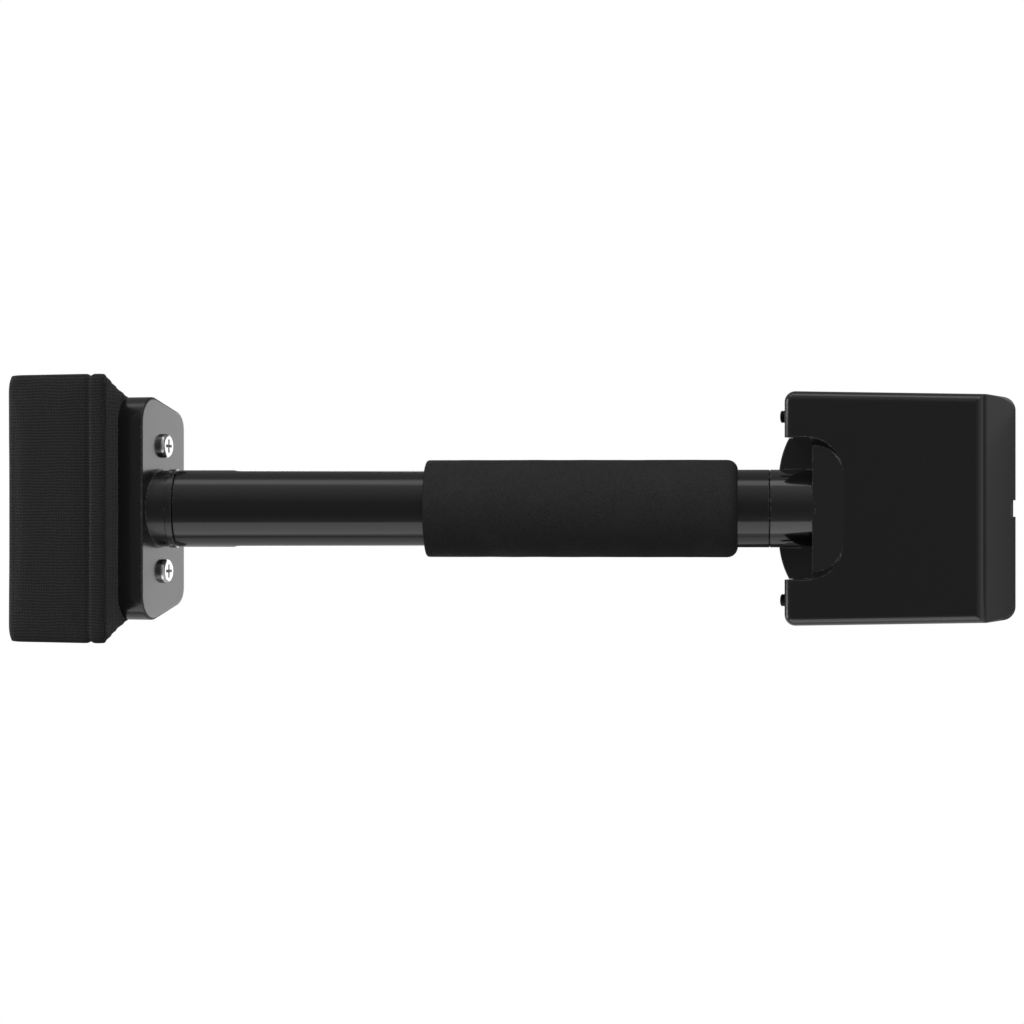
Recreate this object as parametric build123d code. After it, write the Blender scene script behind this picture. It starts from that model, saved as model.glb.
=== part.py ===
from build123d import *

import os
from math import cos, radians, sin

# Carpet knee kicker: a pinned head that lies on the carpet, a handle rising from its rear, and a
# padded block that the fitter's knee strikes.
# Frame: origin in the middle of the head's underside, +X forward from pad to head, +Z up. Sizes in mm.

# ---- head casting ----
head_length = 92.0
head_width_rear = 100.0
head_width_front = 95.0
head_height = 38.0
head_wall = 4.0
head_rear_corner = 4.6
head_front_corner = 6.0
head_edge_round = 4.0
head_front_round = 5.0
head_front_slope = 5.7
front_notch_width = 7.0
front_notch_depth = 1.0
front_notch_height = 6.0

# ---- notch and shallow ramp in the head's top, round the handle socket ----
notch_width = 60.5
notch_depth = 12.0
notch_floor = 20.5
notch_edge_round = 1.2
ramp_length = 14.5
ramp_drop = 3.7
ramp_corner = 16.0

# ---- handle ----
handle_rise = 16.0
handle_height = 21.2
handle_diameter = 33.4
handle_wall = 1.8
handle_length = 257.5
socket_length = 9.8
spigot_length = 30.0
spigot_clearance = 0.05
gusset_thickness = 10.0
gusset_reach = 6.3
gusset_lip = 2.0
gusset_waist = 4.9
grip_diameter = 42.0
grip_length = 134.5
grip_offset = 13.8
grip_front_round = 4.5
grip_rear_round = 1.3
tube_screw_diameter = 4.0
tube_screw_head = 7.5
tube_screw_head_height = 2.2
tube_screw_length = 12.0
tube_screw_offset = 7.0
tube_screw_slot_width = 1.0
tube_screw_slot_depth = 1.0
grip_bore_clearance = 0.05
seam_chamfer = 0.5

# ---- pins and what carries them ----
base_plate_thickness = 3.0
base_plate_gap = 0.25
pin_diameter = 2.5
pin_point = 4.0
pin_rows = 4
pin_rows_centre = 3.0
pins_per_row = 6
pin_row_pitch = 14.5
pin_pitch = 10.5
pin_retraction = 0.8
pin_travel = 5.0
pin_hole_clearance = 0.3
block_thickness = 10.0
block_clearance = 1.5
block_gap = 11.0
post_diameter = 6.0
post_spacing = 62.0
post_seat = 1.5
post_clearance = 0.05
base_screw_diameter = 4.0
base_screw_head = 7.6
base_screw_head_height = 2.2
base_screw_length = 11.0
base_screw_sink = 0.2
base_socket_depth = 1.6
rear_screw_spacing = 52.0
corner_post_inset = 8.0

# ---- lock screws at the head's rear ----
lock_screw_diameter = 5.3
lock_screw_spacing = 78.8
lock_screw_reach = 5.0
lock_screw_height = 21.5
lock_screw_clearance = 0.05
lock_screw_gap = 0.3
lock_screw_pitch = 0.8
lock_screw_tip = 3.5
lock_boss_diameter = 12.0
lock_socket_size = 2.5
lock_socket_depth = 3.0

# ---- nap grips ----
nap_grip_length = 54.0
nap_grip_width = 7.0
nap_grip_spacing = 77.0
nap_grip_thickness = 1.2
nap_tooth_pitch = 2.5
nap_tooth_depth = 0.7
nap_rivet_diameter = 2.6
nap_rivet_spacing = 40.0

# ---- pad bracket ----
bracket_setback = 6.4
bracket_depth = 11.5
bracket_height = 41.0
bracket_top_width = 103.0
bracket_bottom_width = 82.0
bracket_top_corner = 11.0
bracket_bottom_corner = 8.0
bracket_wall = 3.5
bracket_edge_round = 1.0
collar_height = 0.5
collar_length = 3.0
pad_screw_spacing = 54.5
pad_screw_diameter = 6.0
pad_screw_head = 10.6
pad_screw_head_height = 2.6
pad_screw_recess_width = 1.3
pad_screw_clearance = 0.25
pillar_diameter = 14.0

# ---- padded block ----
pad_width = 120.0
pad_shoulder_width = 102.0
pad_bottom_width = 76.0
pad_height = 66.5
pad_shoulder_drop = 16.0
pad_thickness = 48.5
pad_corner = 4.5
pad_shoulder_round = 12.0
pad_edge_round = 4.0
cover_thickness = 1.4
cover_opening_margin = 0.75
cover_opening_height = 24.0
board_thickness = 9.0
t_nut_flange = 17.0
t_nut_flange_thickness = 1.5
t_nut_barrel = 8.0
staple_crown = 9.0
staple_wire = 1.0
staple_leg = 6.0
staple_inset = 3.0

# ---- places worked out from the sizes above ----
rear_face = -head_length / 2
front_face = head_length / 2
handle_radius = handle_diameter / 2
handle_start = Vector(rear_face, 0, handle_height)
handle_direction = Vector(-cos(radians(handle_rise)), 0, sin(radians(handle_rise)))
spigot_radius = handle_radius - handle_wall - spigot_clearance
tube_end = socket_length + handle_length
bracket_centre = handle_start + handle_direction * (tube_end + bracket_setback)
bracket_face = bracket_centre.X
pad_face = bracket_face - bracket_depth
board_face = pad_face - cover_thickness
board_rear = board_face - board_thickness
pad_centre_height = bracket_centre.Z
cover_opening_width = pad_screw_spacing + pillar_diameter + 2 * cover_opening_margin
tube_screw_places = [socket_length + tube_screw_offset, tube_end - tube_screw_offset]
roof_height = head_height - head_wall
rear_block_length = notch_depth + head_wall
rear_block_half = notch_width / 2 + head_wall
block_rear = rear_face + rear_block_length + block_clearance
block_front = front_face - head_front_slope - head_wall - block_clearance
block_half = head_width_front / 2 - head_wall - block_clearance
block_bottom = base_plate_thickness + pin_travel + block_gap
block_top = block_bottom + block_thickness
corner_post_radius = base_screw_diameter / 2 + head_wall
corner_posts = [
    (front_face - corner_post_inset, side * (head_width_front / 2 - corner_post_inset))
    for side in (-1, 1)
]
rear_screws = [(rear_face + (head_wall + rear_block_length) / 2, side * rear_screw_spacing / 2)
               for side in (-1, 1)]
base_screw_places = corner_posts + rear_screws
post_places = [(pin_rows_centre, side * post_spacing / 2) for side in (-1, 1)]
lock_screw_sides = {"left": 1, "right": -1}


# ---- helpers ----
def on_handle(distance):
    """Plane square to the handle, its local Y up, at a distance behind the head's rear face."""
    origin = handle_start + handle_direction * distance
    return Plane(origin=origin, x_dir=(0, -1, 0), z_dir=handle_direction)


def handle_rod(radius, start, end):
    """Round bar along the handle's axis between two distances from the head."""
    bar = Cylinder(radius, end - start, align=(Align.CENTER, Align.CENTER, Align.MIN))
    return on_handle(start) * bar


def upright(radius, x, y, low, high):
    """Vertical round bar."""
    bar = Cylinder(radius, high - low, align=(Align.CENTER, Align.CENTER, Align.MIN))
    return Pos(x, y, low) * bar


def level(radius, x_low, x_high, y, z):
    """Round bar along X."""
    bar = Cylinder(radius, x_high - x_low, align=(Align.CENTER, Align.CENTER, Align.MIN))
    return Pos(x_low, y, z) * Rot(0, 90, 0) * bar


def block(x_low, x_high, y_low, y_high, z_low, z_high):
    """Box between two corners."""
    box = Box(x_high - x_low, y_high - y_low, z_high - z_low, align=Align.MIN)
    return Pos(x_low, y_low, z_low) * box


def side_profile(points, half_width):
    """Solid with a side view outline, spread across the object's width."""
    outline = Plane.XZ * make_face(Polyline(*points, close=True))
    return extrude(outline, half_width, both=True)


def rounded_plan(rear, front, half_rear, half_front, rear_corner, front_corner):
    """Tapered plan outline with its own corner radius at each end."""
    corners = [(rear, -half_rear), (front, -half_front), (front, half_front), (rear, half_rear)]
    outline = make_face(Polyline(*corners, close=True))
    ends = outline.vertices().sort_by(Axis.X)
    if rear_corner > 0:
        outline = fillet(ends[:2], rear_corner)
    ends = outline.vertices().sort_by(Axis.X)
    return fillet(ends[-2:], front_corner)


def save(name, piece):
    """Write one node as a STEP file."""
    solids = piece if isinstance(piece, list) else list(piece.solids())
    shape = solids[0] if len(solids) == 1 else Compound(children=solids)
    export_step(shape, f"parts/{name}.step")
    print(f"{name}: {len(solids)} solid(s), {sum(s.volume for s in solids) / 1000:.2f} cm3")


# ---- head ----
def head_outline(inset):
    """Plan of the head, drawn in by a wall."""
    return rounded_plan(
        rear_face + inset,
        front_face - inset,
        head_width_rear / 2 - inset,
        head_width_front / 2 - inset,
        max(head_rear_corner - inset, 1.0),
        max(head_front_corner - inset, 2.0),
    )


def sloped_block(inset):
    """Side view of the head, drawn in by a wall: square at the rear, sloped and rounded in front."""
    top = head_height - inset
    foot = front_face - inset
    brow = foot - head_front_slope * top / head_height
    rear = rear_face - 1
    blank = side_profile([(rear, 0), (foot, 0), (brow, top), (rear, top)], head_width_rear)
    edge = blank.edges().filter_by(Axis.Y).group_by(Axis.Z)[-1].sort_by(Axis.X)[-1]
    return fillet(edge, head_front_round - inset)


def head_shell():
    """Outer block of the head with softened top edges and a sloping front."""
    blank = extrude(head_outline(0), head_height)
    blank = fillet(blank.faces().sort_by(Axis.Z)[-1].edges(), head_edge_round)
    return blank & sloped_block(0)


def top_notch():
    """Square notch behind the handle socket's end, open to the rear and the top."""
    half = notch_width / 2
    notch_end = rear_face + notch_depth
    notch = block(rear_face - 1, notch_end, -half, half, notch_floor, head_height + 1)
    return fillet(notch.edges().filter_by(Axis.Z).sort_by(Axis.X)[-2:], notch_edge_round)


def top_ramp():
    """Shallow ramp that falls from the head's top to the handle socket, with sloping side walls."""
    low = head_height - ramp_drop
    half = notch_width / 2 - ramp_drop
    ramp_end = rear_face + notch_depth + ramp_length
    floor_plan = rounded_plan(
        rear_face - notch_depth, ramp_end - ramp_drop, half, half, 0, ramp_corner - ramp_drop
    )
    rise = ramp_drop + 1
    basin = extrude(Pos(0, 0, low) * floor_plan, rise, taper=-45)
    slope = ramp_drop / ramp_length
    reach = notch_depth + 2
    wedge = side_profile(
        [
            (rear_face + notch_depth - reach, low - reach * slope),
            (ramp_end + reach, head_height + reach * slope),
            (ramp_end + reach, head_height + 4),
            (rear_face + notch_depth - reach, head_height + 4),
        ],
        notch_width,
    )
    return basin & wedge


def gusset():
    """Web that spreads the handle socket into the head's rear face."""
    half = notch_width / 2
    lip = rear_face - gusset_lip
    waist = rear_face - gusset_waist
    tip = rear_face - gusset_reach
    middle = (half + handle_radius) / 2
    sides = []
    for side in (1, -1):
        sides.append(
            ThreePointArc((lip, side * half), (waist, side * middle), (tip, side * handle_radius))
        )
        sides.append(Line((rear_face + 1, side * half), (lip, side * half)))
        sides.append(Line((tip, side * handle_radius), (tip, 0)))
    sides.append(Line((rear_face + 1, half), (rear_face + 1, -half)))
    web = extrude(Pos(0, 0, notch_floor - gusset_thickness) * make_face(sides), gusset_thickness)
    return web


def head_cavity():
    """Space inside the head for the pin block, leaving its rear block, bosses and corner posts."""
    cavity = extrude(head_outline(head_wall), roof_height) & sloped_block(head_wall)
    rear_end = rear_face + rear_block_length
    top = roof_height + 1
    cavity -= block(rear_face, rear_end, -rear_block_half, rear_block_half, 0, top)
    ramp_end = rear_face + notch_depth + ramp_length + head_wall
    low = roof_height - ramp_drop
    cavity -= block(rear_face, ramp_end, -rear_block_half, rear_block_half, low, top)
    for x, y in corner_posts:
        cavity -= upright(corner_post_radius, x, y, 0, top)
    for side in lock_screw_sides.values():
        y = side * lock_screw_spacing / 2
        cavity -= level(lock_boss_diameter / 2, rear_face, rear_end, y, lock_screw_height)
    return cavity


def base_outline(gap):
    """Underside recess of the head, drawn in by a gap for the plate that fills it."""
    return extrude(head_outline(head_wall / 2 + gap), base_plate_thickness)


def make_head_casting():
    """Head: sloped shell, notch and ramp round the handle socket, spigot, cavity and screw holes."""
    head = head_shell() + gusset()
    head -= top_notch() + top_ramp()
    head += handle_rod(handle_radius, 1 - rear_block_length, socket_length)
    head += handle_rod(spigot_radius, socket_length, socket_length + spigot_length)
    head -= head_cavity() + base_outline(0)
    half = front_notch_width / 2
    head -= block(
        front_face - front_notch_depth, front_face + 1, -half, half, -1, front_notch_height
    )
    for x, y in base_screw_places:
        head -= upright(base_screw_diameter / 2, x, y, 0, base_screw_sink + base_screw_length)
    for x, y in post_places:
        head -= upright(post_diameter / 2, x, y, roof_height - 1, roof_height + post_seat)
    for side in lock_screw_sides.values():
        hole = lock_screw_diameter / 2 + lock_screw_clearance
        y = side * lock_screw_spacing / 2
        head -= level(hole, rear_face - 1, block_rear, y, lock_screw_height)
    return head - tube_screw_hole(socket_length + tube_screw_offset)


# ---- underside ----
def pin_places():
    """Staggered rows of pins, with one pin fewer in every second row."""
    places = []
    for row in range(pin_rows):
        x = pin_rows_centre + (row - (pin_rows - 1) / 2) * pin_row_pitch
        count = pins_per_row - row % 2
        for column in range(count):
            places.append((x, (column - (count - 1) / 2) * pin_pitch))
    return places


def nap_grip_blank(side, gap):
    """Box that one nap grip fills, on the left or right of the underside."""
    middle = side * nap_grip_spacing / 2
    half = nap_grip_width / 2 + gap
    rear = pin_rows_centre - nap_grip_length / 2 - gap
    front = pin_rows_centre + nap_grip_length / 2 + gap
    return block(rear, front, middle - half, middle + half, 0, nap_grip_thickness)


def nap_rivet_places(side):
    """Two rivets in each nap grip."""
    y = side * nap_grip_spacing / 2
    return [(pin_rows_centre + end * nap_rivet_spacing / 2, y) for end in (-1, 1)]


def make_nap_grip(side):
    """Steel strip with saw teeth across its underside."""
    strip = nap_grip_blank(side, 0)
    teeth = int(nap_grip_length / nap_tooth_pitch) - 1
    for tooth in range(teeth):
        x = pin_rows_centre + (tooth - (teeth - 1) / 2) * nap_tooth_pitch
        low = -nap_tooth_depth
        groove = [(x, nap_tooth_depth), (x - nap_tooth_depth, low), (x + 2 * nap_tooth_depth, low)]
        strip -= side_profile(groove, head_width_rear)
    for x, y in nap_rivet_places(side):
        strip -= upright(nap_rivet_diameter / 2, x, y, -1, base_plate_thickness)
    return strip


def make_nap_grip_rivets():
    """Flush rivets that hold the nap grips to the base plate."""
    radius = nap_rivet_diameter / 2
    places = nap_rivet_places(-1) + nap_rivet_places(1)
    return [upright(radius, x, y, nap_tooth_depth, base_plate_thickness) for x, y in places]


def make_base_plate():
    """Steel plate that closes the head and guides the pins."""
    plate = base_outline(base_plate_gap)
    for x, y in pin_places():
        plate -= upright(pin_diameter / 2 + pin_hole_clearance, x, y, -1, base_plate_thickness + 1)
    for x, y in post_places:
        seat = base_plate_thickness - post_seat
        plate -= upright(post_diameter / 2, x, y, seat, base_plate_thickness + 1)
    for side in (-1, 1):
        plate -= nap_grip_blank(side, base_plate_gap)
        for x, y in nap_rivet_places(side):
            plate -= upright(nap_rivet_diameter / 2, x, y, 0, base_plate_thickness + 1)
    for x, y in base_screw_places:
        plate -= base_screw(x, y)
        plate -= upright(base_screw_head / 2, x, y, -1, base_screw_sink)
    return plate


def base_screw(x, y):
    """Countersunk screw, its head just below the plate's surface."""
    head = Cone(
        base_screw_head / 2,
        base_screw_diameter / 2,
        base_screw_head_height,
        align=(Align.CENTER, Align.CENTER, Align.MIN),
    )
    top = base_screw_sink + base_screw_length
    return Pos(x, y, base_screw_sink) * head + upright(
        base_screw_diameter / 2, x, y, base_screw_sink, top
    )


def make_base_plate_screws():
    """Four countersunk screws with hexagon sockets."""
    screws = []
    for x, y in base_screw_places:
        socket = extrude(Pos(x, y, 0) * RegularPolygon(base_screw_diameter / 3, 6), base_socket_depth)
        screws.append(base_screw(x, y) - socket)
    return screws


def make_guide_posts():
    """Two dowels, seated in the base plate and the head's roof, that the pin block slides on."""
    low = base_plate_thickness - post_seat
    high = roof_height + post_seat
    return [upright(post_diameter / 2, x, y, low, high) for x, y in post_places]


def make_pin_block():
    """Block that carries the pins, cut clear of the corner posts and bored for the guide posts."""
    carrier = block(block_rear, block_front, -block_half, block_half, block_bottom, block_top)
    for x, y in corner_posts:
        clear = corner_post_radius + block_clearance
        carrier -= upright(clear, x, y, block_bottom - 1, block_top + 1)
        carrier -= block(x, front_face, min(y, 2 * y), max(y, 2 * y), block_bottom - 1, block_top + 1)
    for x, y in post_places:
        carrier -= upright(post_diameter / 2 + post_clearance, x, y, block_bottom - 1, block_top + 1)
    for x, y in pin_places():
        carrier -= upright(pin_diameter / 2, x, y, block_bottom - 1, block_top + 1)
    return carrier


def make_carpet_pins():
    """Pointed pins, drawn up inside the base plate at rest."""
    point = Cone(
        pin_diameter / 10,
        pin_diameter / 2,
        pin_point,
        align=(Align.CENTER, Align.CENTER, Align.MIN),
    )
    shank_low = pin_retraction + pin_point
    pins = []
    for x, y in pin_places():
        shank = upright(pin_diameter / 2, x, y, shank_low, block_top)
        pins.append(Pos(x, y, pin_retraction) * point + shank)
    return pins


def make_lock_screw(side):
    """Socket set screw through the head's rear wall that clamps the pin block."""
    radius = lock_screw_diameter / 2
    root = radius - lock_screw_pitch / 4
    rear = rear_face - lock_screw_reach
    front = block_rear - lock_screw_gap
    profile = [(rear, 0), (rear, root)]
    turns = int(lock_screw_reach / lock_screw_pitch)
    for turn in range(turns):
        start = rear + turn * lock_screw_pitch
        profile += [(start + lock_screw_pitch / 2, radius), (start + lock_screw_pitch, root)]
    bearing = rear + turns * lock_screw_pitch
    tip_radius = lock_screw_tip / 2
    taper = radius - tip_radius
    profile += [(bearing + lock_screw_pitch / 2, radius), (front - taper, radius)]
    profile += [(front, tip_radius), (front, 0)]
    outline = Plane.XZ * make_face(Polyline(*profile, close=True))
    screw = revolve(outline, Axis.X, 360)
    hexagon = Plane.YZ * RegularPolygon(lock_socket_size / 2, 6, major_radius=False)
    screw -= Pos(rear, 0, 0) * extrude(hexagon, lock_socket_depth)
    return Pos(0, side * lock_screw_spacing / 2, lock_screw_height) * screw


# ---- handle ----
def tube_screw_hole(distance):
    """Hole for a tube screw, up through the underside of the handle into the spigot."""
    drill = Cylinder(
        tube_screw_diameter / 2,
        tube_screw_length + 1,
        align=(Align.CENTER, Align.CENTER, Align.MIN),
    )
    return on_handle(distance) * Pos(0, -handle_radius - 1, 0) * Rot(-90, 0, 0) * drill


def make_tube_screw(distance):
    """Pan head screw on the underside of the handle that holds the tube on its spigot."""
    upwards = (Align.CENTER, Align.CENTER, Align.MIN)
    head = Cylinder(tube_screw_head / 2, tube_screw_head_height, align=upwards)
    head = fillet(head.edges().sort_by(Axis.Z)[0], tube_screw_head_height / 3)
    shank = Cylinder(tube_screw_diameter / 2, tube_screw_length, align=upwards)
    slot = Box(tube_screw_head, tube_screw_slot_width, 2 * tube_screw_slot_depth)
    screw = head - slot + Pos(0, 0, tube_screw_head_height) * shank
    seat = -handle_radius - tube_screw_head_height
    return on_handle(distance) * Pos(0, seat, 0) * Rot(-90, 0, 0) * screw


def make_handle_tube():
    """Round steel tube between the head and the pad bracket."""
    tube = handle_rod(handle_radius, socket_length, tube_end)
    tube -= handle_rod(handle_radius - handle_wall, socket_length - 1, tube_end + 1)
    outer = tube.edges().filter_by(GeomType.CIRCLE).filter_by(lambda e: e.radius > handle_radius - 0.1)
    tube = chamfer(outer, seam_chamfer)
    for distance in tube_screw_places:
        tube -= tube_screw_hole(distance)
    return tube


def make_foam_grip():
    """Foam sleeve, well rounded at the end nearer the head."""
    start = socket_length + grip_offset
    end = start + grip_length
    bar = Cylinder(grip_diameter / 2, grip_length, align=(Align.CENTER, Align.CENTER, Align.MIN))
    bar = fillet(bar.edges().sort_by(Axis.Z)[0], grip_front_round)
    bar = fillet(bar.edges().sort_by(Axis.Z)[-1], grip_rear_round)
    bore = handle_rod(handle_radius + grip_bore_clearance, start - 1, end + 1)
    return on_handle(start) * bar - bore


# ---- pad bracket ----
def bracket_frame(depth):
    """Upright plane behind the bracket's face: local X up, Y across, Z towards the pad."""
    return Plane(
        origin=(bracket_face - depth, 0, pad_centre_height), x_dir=(0, 0, 1), z_dir=(-1, 0, 0)
    )


def bracket_outline(inset):
    """Tapered outline of the bracket, drawn in by a wall."""
    return rounded_plan(
        -bracket_height / 2 + inset,
        bracket_height / 2 - inset,
        bracket_bottom_width / 2 - inset,
        bracket_top_width / 2 - inset,
        bracket_bottom_corner - inset,
        bracket_top_corner - inset,
    )


def pad_screw_bar(radius, x_low, x_high):
    """Bars along both pad screws' axes."""
    bars = []
    for side in (-1, 1):
        bars.append(level(radius, x_low, x_high, side * pad_screw_spacing / 2, pad_centre_height))
    return bars


def make_pad_bracket():
    """Dish casting with a collared socket and spigot for the handle and a pillar round each screw."""
    dish = bracket_frame(0) * extrude(bracket_outline(0), bracket_depth)
    dish = fillet(dish.faces().sort_by(Axis.X)[-1].edges(), bracket_edge_round)
    dish -= bracket_frame(bracket_wall) * extrude(bracket_outline(bracket_wall), bracket_depth)
    plate_rear = bracket_face - bracket_wall
    for pillar in pad_screw_bar(pillar_diameter / 2, pad_face - cover_thickness, plate_rear):
        dish += pillar
    socket = handle_rod(handle_radius, tube_end, tube_end + handle_diameter)
    high = pad_centre_height + head_width_rear
    socket += handle_rod(handle_radius + collar_height, tube_end, tube_end + collar_length)
    dish += socket & block(plate_rear, rear_face, -head_width_rear, head_width_rear, 0, high)
    dish += handle_rod(spigot_radius, tube_end - spigot_length, tube_end)
    hole = pad_screw_diameter / 2 + pad_screw_clearance
    for bar in pad_screw_bar(hole, pad_face - bracket_depth, bracket_face + 1):
        dish -= bar
    return dish - tube_screw_hole(tube_end - tube_screw_offset)


def make_pad_screws():
    """Two pan head screws with cross recesses."""
    screws = []
    tip = board_face - board_thickness
    for shank in pad_screw_bar(pad_screw_diameter / 2, tip, bracket_face):
        head = Cylinder(pad_screw_head / 2, pad_screw_head_height)
        head = fillet(head.edges().sort_by(Axis.Z)[-1], pad_screw_head_height * 0.6)
        for turn in (0, 90):
            recess = Box(pad_screw_head * 0.55, pad_screw_recess_width, pad_screw_head_height * 1.2)
            head -= Rot(0, 0, turn) * Pos(0, 0, pad_screw_head_height / 2) * recess
        y = shank.center().Y
        place = Pos(bracket_face + pad_screw_head_height / 2, y, pad_centre_height)
        screws.append(place * Rot(0, 90, 0) * head + shank)
    return screws


# ---- padded block ----
def pad_outline(inset):
    """Outline of the pad, drawn in all round: broad at the top, falling in below its shoulders."""
    high = pad_height / 2
    shoulder = high - pad_shoulder_drop
    half = [(high, pad_width / 2), (shoulder, pad_shoulder_width / 2), (-high, pad_bottom_width / 2)]
    corners = half + [(x, -y) for x, y in reversed(half)]
    outline = make_face(Polyline(*corners, close=True))
    if inset > 0:
        outline = offset(outline, -inset, kind=Kind.INTERSECTION)
    outline = fillet(outline.vertices().sort_by(Axis.X)[2:4], pad_shoulder_round)
    outline = fillet(outline.vertices().sort_by(Axis.X)[:2], pad_corner - inset)
    return fillet(outline.vertices().sort_by(Axis.X)[-2:], pad_corner - inset)


def pad_solid(inset, front, rear):
    """Block with the pad's outline, drawn in all round, between two upright planes."""
    place = Plane(origin=(front, 0, pad_centre_height), x_dir=(0, 0, 1), z_dir=(-1, 0, 0))
    return place * extrude(pad_outline(inset), front - rear)


def staple_places():
    """Centre and crown direction of each staple round the cover's opening."""
    high = cover_opening_height / 2 + staple_inset
    wide = cover_opening_width / 2 + staple_inset
    places = []
    for column in range(-2, 3):
        for side in (-1, 1):
            places.append((column * cover_opening_width / 5, side * high, 0))
    for row in (-1, 1):
        for side in (-1, 1):
            places.append((side * wide, row * cover_opening_height / 4, 90))
    return places


def make_cover_staples():
    """Wire staples through the cover's turned edge into the pad board, hidden in the bracket."""
    staples = []
    for y, z, turn in staple_places():
        crown = Pos(0, 0, staple_wire / 2) * Box(staple_crown, staple_wire, staple_wire)
        for end in (-1, 1):
            x = end * (staple_crown - staple_wire) / 2
            leg = Box(staple_wire, staple_wire, staple_leg, align=(Align.CENTER, Align.CENTER, Align.MAX))
            crown += Pos(x, 0, 0) * leg
        place = Plane(
            origin=(pad_face, y, pad_centre_height + z), x_dir=(0, 1, 0), z_dir=(1, 0, 0)
        )
        staples.append(place * Rot(0, 0, turn) * crown)
    return staples


def make_pad_cover():
    """Fabric cover over the foam and the board's edges, open behind the bracket."""
    knee_face = pad_face - pad_thickness
    cover = pad_solid(0, pad_face, knee_face)
    cover = fillet(cover.faces().sort_by(Axis.X)[0].edges(), pad_edge_round)
    cover -= pad_filling()
    half = cover_opening_width / 2
    low = pad_centre_height - cover_opening_height / 2
    high = pad_centre_height + cover_opening_height / 2
    cover -= block(board_face - 1, pad_face + 1, -half, half, low, high)
    for staple in make_cover_staples():
        cover -= staple
    return cover


def pad_filling():
    """Everything that the cover wraps."""
    filling = pad_solid(cover_thickness, board_face, pad_face - pad_thickness + cover_thickness)
    return fillet(filling.faces().sort_by(Axis.X)[0].edges(), pad_edge_round - cover_thickness)


def make_pad_foam():
    """Foam between the board and the knee face, dented by the T-nuts."""
    foam = pad_filling() & pad_solid(0, board_rear, pad_face - pad_thickness)
    for nut in make_pad_t_nuts():
        foam -= nut
    for bar in pad_screw_bar(pad_screw_diameter / 2, board_rear - t_nut_flange_thickness, board_rear):
        foam -= bar
    return foam


def make_pad_board():
    """Plywood board, drilled for the T-nuts and pierced by the staples."""
    board = pad_filling() & pad_solid(0, board_face, board_rear)
    for bar in pad_screw_bar(t_nut_barrel / 2, board_rear - 1, board_face + 1):
        board -= bar
    for staple in make_cover_staples():
        board -= staple
    return board


def make_pad_t_nuts():
    """Two flanged nuts set in the board's foam side."""
    nuts = []
    flanges = pad_screw_bar(t_nut_flange / 2, board_rear - t_nut_flange_thickness, board_rear)
    barrels = pad_screw_bar(t_nut_barrel / 2, board_rear, board_face)
    bores = pad_screw_bar(
        pad_screw_diameter / 2, board_rear - t_nut_flange_thickness - 1, board_face + 1
    )
    for flange, barrel, bore in zip(flanges, barrels, bores):
        nuts.append(flange + barrel - bore)
    return nuts


def build():
    """Make every node of the tool and save it."""
    os.makedirs("parts", exist_ok=True)
    save("head_casting", make_head_casting())
    save("base_plate", make_base_plate())
    save("base_plate_screws", make_base_plate_screws())
    save("nap_grip_left", make_nap_grip(1))
    save("nap_grip_right", make_nap_grip(-1))
    save("nap_grip_rivets", make_nap_grip_rivets())
    save("guide_posts", make_guide_posts())
    save("pin_block", make_pin_block())
    save("carpet_pins", make_carpet_pins())
    for name, side in lock_screw_sides.items():
        save(f"lock_screw_{name}", make_lock_screw(side))
    save("handle_tube", make_handle_tube())
    save("foam_grip", make_foam_grip())
    save("head_tube_screw", make_tube_screw(tube_screw_places[0]))
    save("bracket_tube_screw", make_tube_screw(tube_screw_places[1]))
    save("pad_bracket", make_pad_bracket())
    save("pad_screws", make_pad_screws())
    save("pad_t_nuts", make_pad_t_nuts())
    save("pad_board", make_pad_board())
    save("pad_foam", make_pad_foam())
    save("pad_cover", make_pad_cover())
    save("cover_staples", make_cover_staples())


build()
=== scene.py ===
"""Carpet knee kicker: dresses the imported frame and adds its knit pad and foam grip."""

import logging
import math
from collections.abc import Callable
from dataclasses import dataclass, field
from enum import Enum

import bmesh
import bpy
from mathutils import Matrix, Vector


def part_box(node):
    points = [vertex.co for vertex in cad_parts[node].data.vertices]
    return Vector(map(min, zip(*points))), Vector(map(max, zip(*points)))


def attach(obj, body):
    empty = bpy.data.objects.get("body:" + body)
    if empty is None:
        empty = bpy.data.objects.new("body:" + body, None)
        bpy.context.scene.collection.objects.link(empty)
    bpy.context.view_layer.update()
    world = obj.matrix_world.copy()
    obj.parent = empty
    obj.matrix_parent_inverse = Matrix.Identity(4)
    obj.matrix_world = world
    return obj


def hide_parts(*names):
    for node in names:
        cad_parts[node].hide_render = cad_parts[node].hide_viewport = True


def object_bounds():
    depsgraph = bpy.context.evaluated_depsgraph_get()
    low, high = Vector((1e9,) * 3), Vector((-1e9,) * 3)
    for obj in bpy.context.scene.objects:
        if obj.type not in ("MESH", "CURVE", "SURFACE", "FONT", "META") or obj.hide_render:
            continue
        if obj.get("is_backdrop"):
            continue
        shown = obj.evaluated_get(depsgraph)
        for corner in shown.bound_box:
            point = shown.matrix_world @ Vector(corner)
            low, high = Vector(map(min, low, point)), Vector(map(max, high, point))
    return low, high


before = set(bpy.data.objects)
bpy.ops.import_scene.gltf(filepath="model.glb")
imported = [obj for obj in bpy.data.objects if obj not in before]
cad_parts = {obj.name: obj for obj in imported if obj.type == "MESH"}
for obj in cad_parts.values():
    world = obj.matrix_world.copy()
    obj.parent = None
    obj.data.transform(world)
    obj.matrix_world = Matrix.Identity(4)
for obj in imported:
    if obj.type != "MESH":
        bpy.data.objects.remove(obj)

LOG = logging.getLogger("knee_kicker")
MM = 0.001
HANDLE_RISE = math.radians(16.0)
HANDLE_AXIS = Vector((-math.cos(HANDLE_RISE), 0.0, math.sin(HANDLE_RISE)))
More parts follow.
